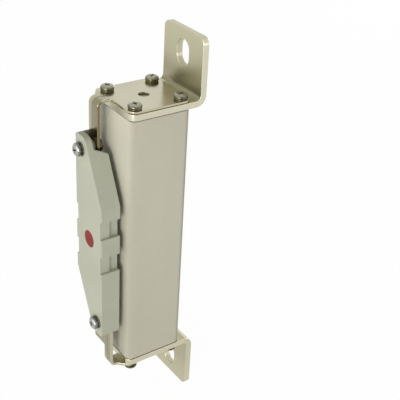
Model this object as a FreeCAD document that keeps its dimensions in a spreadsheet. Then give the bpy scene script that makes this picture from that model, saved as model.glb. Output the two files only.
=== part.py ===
import FreeCAD, Part
import math
import os

import Sketcher

# Long square-bodied bolt-in DC fuse with a trip indicator. The origin is midway between the two
# terminal slots, on the face that meets the busbars. +Z runs along the body, -Y is the indicator side.

os.makedirs("parts", exist_ok=True)
doc = FreeCAD.newDocument("dc_fuse")
V = FreeCAD.Vector

SIZES = {
    # ceramic body and what it holds
    "body_side": 45.5,
    "body_length": 193.0,
    "body_corner": 4.0,
    "bore_dia": 37.0,
    "seal_thick": 0.5,
    "seal_dia": 43.0,
    "contact_dia": 32.0,
    "contact_thick": 3.0,
    "strip_gauge": 0.4,
    "strip_width": 16.0,
    "strip_gap": 6.0,
    "neck_depth": 4.5,
    "neck_height": 4.0,
    "sand_dia": 36.4,
    # end plates
    "plate_side": 46.0,
    "plate_corner": 5.0,
    "terminal_thick": 4.5,
    "leg_front": 30.0,
    "leg_rise": 42.5,
    "leg_corner": 5.0,
    "bend_inside": 5.0,
    "slot_rise": 26.0,
    "slot_width": 13.5,
    "slot_long": 18.5,
    "filler_dia": 7.4,
    "sheet_thick": 2.0,
    # end screws
    "screw_pitch": 35.0,
    "screw_dia": 5.0,
    "screw_clear": 5.5,
    "screw_length": 16.0,
    "head_dia": 9.5,
    "head_height": 2.9,
    "cross_length": 5.0,
    "cross_width": 1.1,
    "cross_depth": 1.8,
    "washer_dia": 9.0,
    "washer_thick": 0.9,
    "flat_washer_dia": 10.2,
    "flat_washer_thick": 1.0,
    "nut_flats": 8.0,
    "nut_thick": 4.0,
    # brackets that carry the indicator
    "bracket_front": 33.0,
    "bracket_inside": 2.5,
    "top_neck_left": 15.0,
    "top_neck_right": 3.5,
    "low_neck_left": 5.5,
    "low_neck_right": 15.0,
    "wing_left": 8.5,
    "wing_foot": 88.5,
    "wing_head": 66.5,
    "foot_back": 11.0,
    "foot_corner": 3.0,
    # indicator
    "house_centre": 4.1,
    "house_front": 41.8,
    "house_depth": 14.3,
    "house_half_width": 17.2,
    "house_half_height": 74.9,
    "slant_start": 30.5,
    "slant_run": 21.76,
    "ear_radius": 7.0,
    "corner_radius": 2.5,
    "front_wall": 2.5,
    "front_edge": 0.5,
    "side_wall": 1.6,
    "ear_depth": 4.5,
    "ledge_inset": 7.9,
    "ledge_run": 4.8,
    "fix_across": 10.3,
    "fix_inset": 10.1,
    "boss_dia": 11.0,
    "clip_inner": 7.2,
    "clip_outer": 20.7,
    "clip_depth": 2.0,
    "clip_back_depth": 3.4,
    "clip_front_length": 7.4,
    "button_dia": 12.5,
    "button_wall": 1.0,
    "button_travel": 6.0,
    "flange_dia": 14.8,
    "guide_dia": 15.4,
    "guide_outer": 18.6,
    "tail_dia": 3.0,
    "back_thick": 2.5,
    "nut_clear": 3.7,
    "spring_dia": 9.0,
    "spring_wire": 0.9,
    "tag_thick": 0.8,
    "wire_dia": 0.8,
    "wire_inset": 3.5,
}

sheet = doc.addObject("Spreadsheet::Sheet", "Size")
for row, (name, number) in enumerate(SIZES.items(), 1):
    sheet.set("A%d" % row, name)
    sheet.set("B%d" % row, str(number))
    sheet.setAlias("B%d" % row, name)
doc.recompute()


class Length:
    """A length in millimetres that also carries the sheet formula behind it."""

    def __init__(self, value, formula):
        self.value = value
        self.formula = formula

    def mixed(self, other, sign, swap=False):
        if not isinstance(other, Length):
            other = Length(other, repr(float(other)))
        a, b = (other, self) if swap else (self, other)
        value = {"+": a.value + b.value, "-": a.value - b.value, "*": a.value * b.value,
                 "/": a.value / (b.value or 1.0)}[sign]
        return Length(value, "(%s %s %s)" % (a.formula, sign, b.formula))

    def __add__(self, other):
        return self.mixed(other, "+")

    def __radd__(self, other):
        return self.mixed(other, "+", True)

    def __sub__(self, other):
        return self.mixed(other, "-")

    def __rsub__(self, other):
        return self.mixed(other, "-", True)

    def __mul__(self, other):
        return self.mixed(other, "*")

    def __rmul__(self, other):
        return self.mixed(other, "*", True)

    def __truediv__(self, other):
        return self.mixed(other, "/")

    def __neg__(self):
        return self.mixed(-1.0, "*")


def number(length):
    return length.value if isinstance(length, Length) else float(length)


def formula(length):
    return length.formula if isinstance(length, Length) else repr(float(length))


size = {name: Length(value, "Size.%s" % name) for name, value in SIZES.items()}


def new_body(label):
    body = doc.addObject("PartDesign::Body", label)
    body.Label = label
    return body


def origin_plane(body, role):
    return next(f for f in body.Origin.OriginFeatures if f.Role == role)


def new_sketch(body, role, offset, right=0.0, up=0.0):
    """A sketch on an origin plane, moved along its normal and, if asked, within the plane."""
    sketch = body.newObject("Sketcher::SketchObject", body.Label + "_sketch")
    sketch.AttachmentSupport = [(origin_plane(body, role), "")]
    sketch.MapMode = "FlatFace"
    sketch.AttachmentOffset = FreeCAD.Placement(V(number(right), number(up), number(offset)),
                                                FreeCAD.Rotation())
    for axis, length in (("x", right), ("y", up), ("z", offset)):
        sketch.setExpression(".AttachmentOffset.Base." + axis, formula(length))
    return sketch


def pin(sketch, index, point, x, y):
    """Ties one point of the sketch to the sheet."""
    for kind, axis, length in (("DistanceX", -2, x), ("DistanceY", -1, y)):
        if not isinstance(length, Length) and number(length) == 0.0:
            sketch.addConstraint(Sketcher.Constraint("PointOnObject", index, point, axis))
            continue
        put = sketch.addConstraint(Sketcher.Constraint(kind, -1, 1, index, point, number(length)))
        sketch.setExpression("Constraints[%d]" % put, formula(length))


def draw_loop(sketch, corners):
    """A closed outline of straight lines."""
    flat = [V(number(x), number(y), 0) for x, y in corners]
    first = sketch.GeometryCount
    for a, b in zip(flat, flat[1:] + flat[:1]):
        sketch.addGeometry(Part.LineSegment(a, b), False)
    for i, (x, y) in enumerate(corners):
        following = first + (i + 1) % len(corners)
        sketch.addConstraint(Sketcher.Constraint("Coincident", first + i, 2, following, 1))
        pin(sketch, first + i, 1, x, y)


def draw_box(sketch, left, right, low, high):
    draw_loop(sketch, [(left, low), (right, low), (right, high), (left, high)])


def draw_circle(sketch, x, y, diameter):
    circle = Part.Circle(V(number(x), number(y), 0), V(0, 0, 1), number(diameter) / 2)
    index = sketch.addGeometry(circle, False)
    pin(sketch, index, 3, x, y)
    put = sketch.addConstraint(Sketcher.Constraint("Diameter", index, number(diameter)))
    sketch.setExpression("Constraints[%d]" % put, formula(diameter))


def draw_flats(sketch, x, y, across, sides=8):
    """A regular polygon, as wide as given between its corners."""
    turns = [2 * math.pi * i / sides for i in range(sides)]
    draw_loop(sketch, [(x + across * (math.cos(a) / 2), y + across * (math.sin(a) / 2)) for a in turns])


def draw_slot(sketch, middle, width, length):
    """An upright slot with round ends, centred on the sketch's vertical axis."""
    half = number(width) / 2
    reach = (number(length) - number(width)) / 2
    high, low = number(middle) + reach, number(middle) - reach
    top = sketch.addGeometry(Part.ArcOfCircle(Part.Circle(V(0, high, 0), V(0, 0, 1), half),
                                              0, math.pi), False)
    bottom = sketch.addGeometry(Part.ArcOfCircle(Part.Circle(V(0, low, 0), V(0, 0, 1), half),
                                                 math.pi, 2 * math.pi), False)
    left = sketch.addGeometry(Part.LineSegment(V(-half, high, 0), V(-half, low, 0)), False)
    right = sketch.addGeometry(Part.LineSegment(V(half, low, 0), V(half, high, 0)), False)
    for a, a_end, b, b_end in ((top, 2, left, 1), (left, 2, bottom, 1),
                               (bottom, 2, right, 1), (right, 2, top, 1)):
        sketch.addConstraint(Sketcher.Constraint("Tangent", a, a_end, b, b_end))
    pin(sketch, top, 3, 0, middle + (length - width) / 2)
    pin(sketch, bottom, 3, 0, middle - (length - width) / 2)
    put = sketch.addConstraint(Sketcher.Constraint("Radius", top, half))
    sketch.setExpression("Constraints[%d]" % put, formula(width / 2))


def pad(body, sketch, length, reverse=False):
    feature = body.newObject("PartDesign::Pad", body.Label + "_pad")
    feature.Profile = sketch
    feature.Reversed = reverse
    feature.Length = number(length)
    feature.setExpression("Length", formula(length))
    sketch.Visibility = False
    doc.recompute()
    return feature


def pocket(body, sketch, length, reverse=False):
    """Cuts along the sketch's normal backwards, and makes sure that something was cut."""
    before = body.Shape.Volume
    feature = body.newObject("PartDesign::Pocket", body.Label + "_pocket")
    feature.Profile = sketch
    feature.Reversed = reverse
    feature.Length = number(length)
    feature.setExpression("Length", formula(length))
    sketch.Visibility = False
    doc.recompute()
    if before - body.Shape.Volume < 1e-3:
        raise RuntimeError("%s cut nothing" % feature.Name)
    return feature


def ease_edges(body, kind, amount, wanted):
    """A Fillet or a Chamfer on the edges of the body's last feature that the test picks."""
    last = body.Tip
    names = ["Edge%d" % (i + 1) for i, edge in enumerate(last.Shape.Edges) if wanted(edge)]
    if not names:
        raise RuntimeError("%s has no such edge" % body.Label)
    feature = body.newObject("PartDesign::" + kind, "%s_%s" % (body.Label, kind.lower()))
    feature.Base = (last, names)
    length = {"Fillet": "Radius", "Chamfer": "Size"}[kind]
    setattr(feature, length, number(amount))
    feature.setExpression(length, formula(amount))
    doc.recompute()
    return feature


def round_edges(body, radius, wanted):
    return ease_edges(body, "Fillet", radius, wanted)


def turn_half(body, features, sketch):
    """Repeats features half a turn round the normal of a sketch."""
    pattern = body.newObject("PartDesign::PolarPattern", body.Label + "_half_turn")
    pattern.Originals = features
    pattern.Axis = (sketch, ["N_Axis"])
    pattern.Angle = 360
    pattern.Occurrences = 2
    body.Tip = pattern
    doc.recompute()
    return pattern


def runs_along(edge, axis):
    """True for a straight edge along a world axis (0, 1 or 2)."""
    if not isinstance(edge.Curve, (Part.Line, Part.LineSegment)):
        return False
    ends = edge.Vertexes[0].Point - edge.Vertexes[1].Point
    return abs(abs(ends[axis]) - ends.Length) < 1e-6


def middle_of(edge):
    return edge.BoundBox.Center


def near(coordinate, length):
    return abs(coordinate - number(length)) < 0.01


# where the main faces lie
setback = size["leg_front"] + size["terminal_thick"]
body_axis = -setback
half_body = size["body_length"] / 2
seat = half_body + size["seal_thick"]
plate_out = seat + size["terminal_thick"]
cover_out = plate_out + size["sheet_thick"]
plate_half = size["plate_side"] / 2
plate_front = body_axis - plate_half
plate_back = body_axis + plate_half
screw_half = size["screw_pitch"] / 2
screw_spots = [(sx * screw_half, body_axis + sy * screw_half) for sx in (-1, 1) for sy in (-1, 1)]
bracket_face = body_axis - size["bracket_front"]
house_face = body_axis - size["house_front"]
house_back = house_face + size["house_depth"]
house_mid = size["house_centre"]
sheet_back = bracket_face + size["sheet_thick"]
bend_line = sheet_back + size["bracket_inside"]
hw, hh = size["house_half_width"], size["house_half_height"]
fix_across = size["fix_across"]
fix_height = hh - size["fix_inset"]
fix_upper = (-fix_across, house_mid + fix_height)
fix_lower = (fix_across, house_mid - fix_height)


def draw_square(sketch, side):
    half = side / 2
    draw_box(sketch, -half, half, body_axis - half, body_axis + half)


# ceramic tube: square outside, round bore, blind screw holes in the corners (kept to eight flats)
tube = new_body("ceramic_body")
flat = new_sketch(tube, "XY_Plane", -half_body)
draw_square(flat, size["body_side"])
pad(tube, flat, size["body_length"])
round_edges(tube, size["body_corner"], lambda e: runs_along(e, 2))
flat = new_sketch(tube, "XY_Plane", half_body)
draw_circle(flat, 0, body_axis, size["bore_dia"])
pocket(tube, flat, size["body_length"])
hole_depth = size["screw_length"] - size["terminal_thick"] - size["seal_thick"]
for level, turned in ((half_body, False), (-half_body, True)):
    flat = new_sketch(tube, "XY_Plane", level)
    for x, y in screw_spots:
        draw_flats(flat, x, y, size["screw_dia"] * 1.12)
    pocket(tube, flat, hole_depth, turned)


# ring gaskets between the ceramic and the end plates, inside the four screws
seals = new_body("end_seals")
seals.AllowCompound = True
for low in (half_body, -seat):
    flat = new_sketch(seals, "XY_Plane", low)
    draw_flats(flat, 0, body_axis, size["seal_dia"], 32)
    draw_flats(flat, 0, body_axis, size["bore_dia"], 32)
    pad(seals, flat, size["seal_thick"])


def make_terminal(label, side):
    """Bent bar: flat on the body's end, leg away from it, slot for the busbar bolt."""
    bar = new_body(label)
    thick = size["terminal_thick"]
    inside = size["bend_inside"]
    profile = new_sketch(bar, "YZ_Plane", -plate_half)
    draw_loop(profile, [(plate_front, side * seat), (0, side * seat),
                        (0, side * (plate_out + size["leg_rise"])),
                        (-thick, side * (plate_out + size["leg_rise"])),
                        (-thick, side * plate_out), (plate_front, side * plate_out)])
    pad(bar, profile, size["plate_side"])
    round_edges(bar, inside + thick,
                lambda e: runs_along(e, 0) and near(middle_of(e).y, 0)
                and near(abs(middle_of(e).z), seat))
    round_edges(bar, inside,
                lambda e: runs_along(e, 0) and near(middle_of(e).y, -thick)
                and near(abs(middle_of(e).z), plate_out))
    round_edges(bar, size["plate_corner"],
                lambda e: runs_along(e, 2) and near(middle_of(e).y, plate_front))
    round_edges(bar, size["leg_corner"],
                lambda e: runs_along(e, 1) and near(abs(middle_of(e).z), plate_out + size["leg_rise"]))
    face = new_sketch(bar, "XZ_Plane", thick)
    draw_slot(face, side * (plate_out + size["slot_rise"]), size["slot_width"], size["slot_long"])
    pocket(bar, face, thick)
    flat = new_sketch(bar, "XY_Plane", side * plate_out)
    for x, y in screw_spots:
        draw_flats(flat, x, y, size["screw_clear"], 16)
    if side > 0:
        draw_circle(flat, 0, body_axis, size["filler_dia"])
    pocket(bar, flat, thick, side < 0)
    return bar


upper = make_terminal("upper_terminal", 1.0)
lower = make_terminal("lower_terminal", -1.0)


def make_contact(label, low, filler):
    """Round plate inside the bore that the fuse strips are welded to."""
    disc = new_body(label)
    flat = new_sketch(disc, "XY_Plane", low)
    draw_flats(flat, 0, body_axis, size["contact_dia"], 24)
    if filler:
        draw_circle(flat, 0, body_axis, size["filler_dia"])
    pad(disc, flat, size["contact_thick"])


contact_inner = seat - size["contact_thick"]
make_contact("upper_contact_plate", contact_inner, True)
make_contact("lower_contact_plate", -seat, False)

# silver strips with a row of V necks at each of seven places
strip_count = 4
strip_places = [(i - (strip_count - 1) / 2) * size["strip_gap"] for i in range(strip_count)]
neck_rows = 7
neck_step = contact_inner * 2 / (neck_rows + 1)
strip_half = size["strip_width"] / 2
for number_of, place in enumerate(strip_places, 1):
    strip = new_body("fuse_strip_%d" % number_of)
    side_view = new_sketch(strip, "YZ_Plane", place - size["strip_gauge"] / 2)
    draw_box(side_view, body_axis - strip_half, body_axis + strip_half, -contact_inner, contact_inner)
    pad(strip, side_view, size["strip_gauge"])
    cuts = new_sketch(strip, "YZ_Plane", place + size["strip_gauge"])
    first = neck_step - contact_inner
    deep, tall = size["neck_depth"], size["neck_height"] / 2
    for way in (-1, 1):
        edge = body_axis + way * strip_half
        draw_loop(cuts, [(edge + way * 0.5, first - tall), (edge + way * 0.5, first + tall),
                         (edge - way * deep, first)])
    necks = pocket(strip, cuts, size["strip_gauge"] * 2)
    rows = strip.newObject("PartDesign::LinearPattern", strip.Label + "_rows")
    rows.Originals = [necks]
    rows.Direction = (cuts, ["V_Axis"])
    rows.Length = number(neck_step) * (neck_rows - 1)
    rows.setExpression("Length", formula(neck_step * (neck_rows - 1)))
    rows.Occurrences = neck_rows
    strip.Tip = rows
    doc.recompute()

# quartz sand packed round the strips
sand = new_body("quartz_sand_fill")
flat = new_sketch(sand, "XY_Plane", -contact_inner)
draw_circle(flat, 0, body_axis, size["sand_dia"])
pad(sand, flat, contact_inner * 2)
flat = new_sketch(sand, "XY_Plane", contact_inner)
for place in strip_places:
    half_gauge = size["strip_gauge"] / 2
    draw_box(flat, place - half_gauge, place + half_gauge, body_axis - strip_half, body_axis + strip_half)
pocket(sand, flat, contact_inner * 2)

# plug in the filling hole, a little below the cover's top
plug = new_body("filling_plug")
flat = new_sketch(plug, "XY_Plane", contact_inner + 0.5)
draw_circle(flat, 0, body_axis, size["filler_dia"] - 0.1)
pad(plug, flat, plate_out - contact_inner - 0.5)
flat = new_sketch(plug, "XY_Plane", plate_out)
draw_circle(flat, 0, body_axis, size["filler_dia"] / 2)
pocket(plug, flat, 0.6 * size["sheet_thick"])


def sheet_bend(body, left, right, side, plate_level, tip_level):
    """The bent strip that leaves a foot plate and runs down (or up) behind the indicator."""
    thick = size["sheet_thick"]
    inside = size["bracket_inside"]
    outer = side * (plate_level + thick)
    profile = new_sketch(body, "YZ_Plane", left)
    draw_loop(profile, [(plate_front + 4.0, side * plate_level), (plate_front + 4.0, outer),
                        (bracket_face, outer), (bracket_face, tip_level),
                        (sheet_back, tip_level), (sheet_back, side * plate_level)])
    pad(body, profile, right - left)
    round_edges(body, inside + thick,
                lambda e: runs_along(e, 0) and near(middle_of(e).y, bracket_face)
                and near(middle_of(e).z, outer))
    round_edges(body, inside,
                lambda e: runs_along(e, 0) and near(middle_of(e).y, sheet_back)
                and near(middle_of(e).z, side * plate_level))


# upper cover: flat plate over the terminal with the upper indicator bracket bent from its front edge
cover = new_body("cover_with_bracket")
flat = new_sketch(cover, "XY_Plane", plate_out)
draw_square(flat, size["plate_side"])
pad(cover, flat, size["sheet_thick"])
round_edges(cover, size["plate_corner"],
            lambda e: runs_along(e, 2) and (middle_of(e).x > 0 or middle_of(e).y > number(body_axis)))
flare = new_sketch(cover, "XY_Plane", plate_out)
draw_loop(flare, [(-plate_half, plate_front), (-size["top_neck_left"], bend_line),
                  (-size["top_neck_right"], bend_line), (-size["top_neck_right"], plate_front + 1.0),
                  (-plate_half, plate_front + 1.0)])
pad(cover, flare, size["sheet_thick"])
sheet_bend(cover, -size["top_neck_left"], -size["top_neck_right"], 1.0, plate_out,
           fix_upper[1] - size["boss_dia"] / 2)
flat = new_sketch(cover, "XY_Plane", cover_out)
for x, y in screw_spots:
    draw_circle(flat, x, y, size["screw_clear"])
draw_circle(flat, 0, body_axis, size["filler_dia"])
pocket(cover, flat, size["sheet_thick"])
face = new_sketch(cover, "XZ_Plane", -bracket_face)
draw_circle(face, fix_upper[0], fix_upper[1], size["screw_clear"])
pocket(cover, face, size["sheet_thick"])

# lower bracket: foot under the near front screw, neck, and a wing that widens behind the indicator
bracket = new_body("lower_bracket")
foot = new_sketch(bracket, "XY_Plane", -cover_out)
foot_end = plate_front + size["foot_back"]
foot_side = plate_half - 1.5
draw_loop(foot, [(size["low_neck_left"], bend_line), (size["low_neck_right"], bend_line),
                 (foot_side, plate_front + 2.0), (foot_side, foot_end),
                 (size["low_neck_left"], foot_end)])
pad(bracket, foot, size["sheet_thick"])
round_edges(bracket, size["foot_corner"], lambda e: runs_along(e, 2) and near(middle_of(e).x, foot_side))
sheet_bend(bracket, size["low_neck_left"], size["low_neck_right"], -1.0, plate_out,
           fix_lower[1] + size["boss_dia"] / 2)
wing = new_sketch(bracket, "XZ_Plane", -sheet_back)
draw_box(wing, -size["wing_left"], size["low_neck_left"] + 2.0, -size["wing_foot"], -size["wing_head"])
pad(bracket, wing, size["sheet_thick"])
flat = new_sketch(bracket, "XY_Plane", -plate_out)
draw_circle(flat, screw_half, body_axis - screw_half, size["screw_clear"])
pocket(bracket, flat, size["sheet_thick"])
face = new_sketch(bracket, "XZ_Plane", -bracket_face)
draw_circle(face, fix_lower[0], fix_lower[1], size["screw_clear"])
pocket(bracket, face, size["sheet_thick"])


def flats(radius, sides, high):
    """A regular polygon's outline about Z; fasteners that repeat are made with flats to stay light."""
    turns = [2 * math.pi * i / sides for i in range(sides + 1)]
    return Part.makePolygon([V(radius * math.cos(a), radius * math.sin(a), high) for a in turns])


def pillar(radius, sides, low, high):
    return Part.Face(flats(radius, sides, low)).extrude(V(0, 0, high - low))


def taper(radius, top_radius, sides, low, high):
    """A short pyramid with its point cut off."""
    ends = [flats(radius, sides, low), flats(top_radius, sides, high)]
    rings = [[vertex.Point for vertex in end.OrderedVertexes] for end in ends]
    faces = [Part.Face(end) for end in ends]
    for i in range(sides):
        j = (i + 1) % sides
        corners = [rings[0][i], rings[0][j], rings[1][j], rings[1][i]]
        faces.append(Part.Face(Part.makePolygon(corners + corners[:1])))
    return Part.Solid(Part.Shell(faces))


def placed(shape, spot, direction):
    """Moves a shape made about Z to its spot, its top towards the direction."""
    turned_shape = shape.copy()
    turned_shape.Placement = FreeCAD.Placement(V(*spot), FreeCAD.Rotation(V(0, 0, 1), V(*direction)))
    return turned_shape


def pan_screw(spot, direction, reach):
    """Cross-recessed pan head screw; the spot is under the head, the direction points out of the head."""
    head_r, shank_r = number(size["head_dia"]) / 2, number(size["screw_dia"]) / 2
    high = number(size["head_height"])
    rim = high * 0.55
    crown = taper(head_r, head_r * 0.6, 16, rim, high)
    screw = pillar(shank_r, 8, -reach, 0).fuse([pillar(head_r, 16, 0, rim), crown]).removeSplitter()
    long, wide, deep = (number(size[n]) for n in ("cross_length", "cross_width", "cross_depth"))
    for length, width in ((long, wide), (wide, long)):
        screw = screw.cut(Part.makeBox(length, width, deep + 1, V(-length / 2, -width / 2, high - deep)))
    return placed(screw, spot, direction)


def ring(spot, direction, outer, inner, thick):
    """Plain washer lying on the spot."""
    return placed(pillar(outer, 16, 0, thick).cut(pillar(inner, 16, -1, thick + 1)), spot, direction)


def split_ring(spot, direction, outer, inner, thick):
    """Spring washer: a ring with a narrow gap cut through one side."""
    gap = Part.makeBox(outer * 1.5, 0.8, thick * 3, V(0, -0.4, -thick))
    whole = pillar(outer, 12, 0, thick).cut(pillar(inner, 12, -1, thick + 1))
    return placed(whole.cut(gap), spot, direction)


def store(label, shapes):
    """One node made of separate solids, sized from the sheet."""
    group = doc.addObject("Part::Feature", label)
    group.Label = label
    group.Shape = Part.makeCompound(shapes) if len(shapes) > 1 else shapes[0]


washer_r = number(size["washer_dia"]) / 2
washer_bore = number(size["screw_dia"]) / 2 + 0.2
washer_t = number(size["washer_thick"])
screws, washers = [], []
for side in (1, -1):
    for x, y in screw_spots:
        x, y = number(x), number(y)
        covered = side > 0 or (x > 0 and y < number(body_axis))
        level = number(cover_out if covered else plate_out) * side
        out = (0, 0, side)
        washers.append(split_ring((x, y, level), out, washer_r, washer_bore, washer_t))
        below = abs(level) - number(plate_out) + washer_t
        screws.append(pan_screw((x, y, level + side * washer_t), out, number(size["screw_length"]) + below - 1))
store("end_washers", washers)
store("end_screws", screws)

# indicator housing: an S-shaped moulded shell, the same turned half round, open towards the fuse body
house = new_body("indicator_housing")
slant_end = size["slant_run"] - hw


def house_sketch(body, depth):
    """A sketch parallel to the front face whose origin is the middle of the indicator."""
    return new_sketch(body, "XZ_Plane", -(house_face + depth), 0.0, house_mid)


outline = house_sketch(house, size["house_depth"])
draw_loop(outline, [(hw, -hh), (hw, size["slant_start"]), (-slant_end, hh),
                    (-hw, hh), (-hw, -size["slant_start"]), (slant_end, -hh)])
pad(house, outline, size["house_depth"])
round_edges(house, size["ear_radius"],
            lambda e: runs_along(e, 1) and near(abs(middle_of(e).x), slant_end))
round_edges(house, size["corner_radius"],
            lambda e: runs_along(e, 1) and near(abs(middle_of(e).x), hw)
            and near(abs(middle_of(e).z - number(house_mid)), hh))
wall = size["side_wall"]
slope = size["slant_run"] / (hh - size["slant_start"])
slant_wall = wall * 1.114
cheek = hw - size["clip_back_depth"] - wall
cavity = house_sketch(house, size["house_depth"])
cheek_high = size["clip_outer"] + wall
inner_top = hh - wall
inner_run = (inner_top - size["slant_start"]) * slope


def turned(points):
    return points + [(-x, -y) for x, y in points]


draw_loop(cavity, turned([(hw - wall, -inner_top), (hw - wall, -cheek_high), (cheek, -cheek_high),
                          (cheek, cheek_high), (hw - slant_wall, cheek_high),
                          (hw - slant_wall, size["slant_start"]), (hw - slant_wall - inner_run, inner_top)]))
pocket(house, cavity, size["house_depth"] - size["front_wall"], True)

# the ends are cut back behind the ears, where the brackets come in; the ledge slopes to the rear
ear_back = house_face + size["ear_depth"]
beyond = 3 * wall
ledge_high = hh - size["ledge_inset"]
side_view = new_sketch(house, "YZ_Plane", hw + beyond, 0.0, house_mid)
draw_loop(side_view, [(ear_back, hh + beyond), (ear_back, ledge_high),
                      (house_back + 1.0, ledge_high - size["ledge_run"]), (house_back + 1.0, hh + beyond)])
upper_cut = pocket(house, side_view, hw * 2 + beyond - wall)
turn_half(house, [upper_cut], outline)

# recesses down each side, where a microswitch clips on: shallow in front, deeper behind
inner, outer_edge = size["clip_inner"], size["clip_outer"]
recesses = []
for deep, start in ((size["clip_depth"], 0.0), (size["clip_back_depth"], size["clip_front_length"])):
    marks = house_sketch(house, start - (0.5 if start == 0.0 else 0.0))
    for low, high in ((inner, outer_edge), (-outer_edge, -inner)):
        draw_box(marks, hw - deep, hw + 1.0, low, high)
    recesses.append(pocket(house, marks, size["house_depth"] + 1.0))
turn_half(house, recesses, outline)

# bosses round the two fixing holes, and the guide of the red button
boss = house_sketch(house, size["front_wall"] - 0.5)
draw_circle(boss, -fix_across, fix_height, size["boss_dia"])
boss_length = bracket_face - size["tag_thick"] - house_face - size["front_wall"]
boss_pad = pad(house, boss, boss_length + 0.5, True)
turn_half(house, [boss_pad], outline)
guide = house_sketch(house, size["front_wall"] - 0.5)
draw_circle(guide, 0, 0, size["guide_outer"])
guide_length = size["button_travel"] + 2.0
pad(house, guide, guide_length + 0.5, True)
bore = house_sketch(house, size["front_wall"])
draw_circle(bore, 0, 0, size["guide_dia"])
pocket(house, bore, guide_length)
holes = house_sketch(house, -0.5)
draw_circle(holes, 0, 0, size["button_dia"] + 0.1)
for way in (-1, 1):
    draw_circle(holes, way * fix_across, -way * fix_height, size["screw_clear"])
pocket(house, holes, size["house_depth"])
ease_edges(house, "Chamfer", size["front_edge"],
           lambda e: not isinstance(e.Curve, Part.Circle) and near(e.BoundBox.YMin, house_face)
           and near(e.BoundBox.YMax, house_face))

# red button: a cup with a flange that stops it, and a tail that the trip wires hold
wall_back = house_face + size["front_wall"]
button = new_body("indicator_button")
flange_front = wall_back + size["button_travel"]
flange_thick = 1.5
cup_end = flange_front + flange_thick
face = new_sketch(button, "XZ_Plane", -cup_end, 0.0, house_mid)
draw_circle(face, 0, 0, size["button_dia"])
pad(button, face, cup_end - house_face)
face = new_sketch(button, "XZ_Plane", -cup_end, 0.0, house_mid)
draw_circle(face, 0, 0, size["flange_dia"])
pad(button, face, flange_thick)
face = new_sketch(button, "XZ_Plane", -cup_end, 0.0, house_mid)
draw_circle(face, 0, 0, size["button_dia"] - 2 * size["button_wall"])
cup_floor = house_face + 1.5
pocket(button, face, cup_end - cup_floor, True)
face = new_sketch(button, "XZ_Plane", -cup_floor, 0.0, house_mid)
draw_circle(face, 0, 0, size["tail_dia"])
pad(button, face, house_back - cup_floor, True)

# back plate inside the walls, with a hole for the tail, a groove and two holes for the wires
back_front = house_back - size["back_thick"]
back = new_body("indicator_back_plate")
gap = 0.3
nut_corner = size["nut_flats"] / math.sqrt(3)
bh = fix_height - nut_corner - size["nut_clear"]
wire_end = bh - size["wire_inset"]
inner_x = hw - wall - gap
slant_x = hw - slant_wall - gap
end_x = slant_x - (bh - size["slant_start"]) * slope
face = new_sketch(back, "XZ_Plane", -house_back, 0.0, house_mid)
draw_loop(face, turned([(inner_x, -bh), (inner_x, -cheek_high - gap), (cheek - gap, -cheek_high - gap),
                        (cheek - gap, cheek_high + gap), (slant_x, cheek_high + gap),
                        (slant_x, size["slant_start"]), (end_x, bh)]))
pad(back, face, size["back_thick"])
face = new_sketch(back, "XZ_Plane", -back_front, 0.0, house_mid)
draw_circle(face, 0, 0, size["tail_dia"] + 0.6)
for way in (-1, 1):
    draw_circle(face, 0, way * wire_end, size["wire_dia"] + 0.6)
pocket(back, face, size["back_thick"])
groove_half = size["wire_dia"] / 2 + 0.2
face = new_sketch(back, "XZ_Plane", -house_back, 0.0, house_mid)
draw_box(face, -groove_half, groove_half, -wire_end, wire_end)
pocket(back, face, size["wire_dia"] + 0.4, True)

# button spring, sized to fill the cup from its floor to the back plate; its wire has flats to stay light
coil_r = number(size["spring_dia"]) / 2
wire_r = number(size["spring_wire"]) / 2
coil_start = number(cup_floor) + wire_r + 0.05
coil_room = number(back_front) - wire_r - 0.05 - coil_start
turns, steps, sides = 4.5, 12, 6
path = []
for i in range(int(turns * steps) + 1):
    angle = 2 * math.pi * i / steps
    path.append(V(coil_r * math.cos(angle), coil_start + coil_room * i / (turns * steps),
                  number(house_mid) + coil_r * math.sin(angle)))
along = (path[1] - path[0]).normalize()
across = along.cross(V(0, 1, 0)).normalize()
upward = along.cross(across)
section = [path[0] + across * (wire_r * math.cos(2 * math.pi * i / sides))
           + upward * (wire_r * math.sin(2 * math.pi * i / sides)) for i in range(sides)]
section = Part.makePolygon(section + section[:1])
store("button_spring", [Part.Wire(Part.makePolygon(path).Edges).makePipeShell([section], True, False, 1)])

# brass tags under the bosses, the same turned half round
tag_front = bracket_face - size["tag_thick"]
tag_half = 2.0
tags = new_body("wire_tags")
tags.AllowCompound = True
disc = new_sketch(tags, "XZ_Plane", -bracket_face, 0.0, house_mid)
draw_flats(disc, -fix_across, fix_height, size["boss_dia"] - 1.0, 16)
tag_disc = pad(tags, disc, size["tag_thick"])
arm = new_sketch(tags, "XZ_Plane", -bracket_face, 0.0, house_mid)
draw_loop(arm, [(tag_half, wire_end - tag_half), (tag_half, wire_end + tag_half),
                (1.0 - fix_across, fix_height + 2.0), (-fix_across - 1.0, fix_height - 2.0),
                (-tag_half, wire_end - tag_half)])
tag_arm = pad(tags, arm, size["tag_thick"])
eye = new_sketch(tags, "XZ_Plane", -tag_front, 0.0, house_mid)
draw_circle(eye, -fix_across, fix_height, size["screw_clear"])
tag_eye = pocket(tags, eye, size["tag_thick"])
turn_half(tags, [tag_disc, tag_arm, tag_eye], disc)

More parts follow.
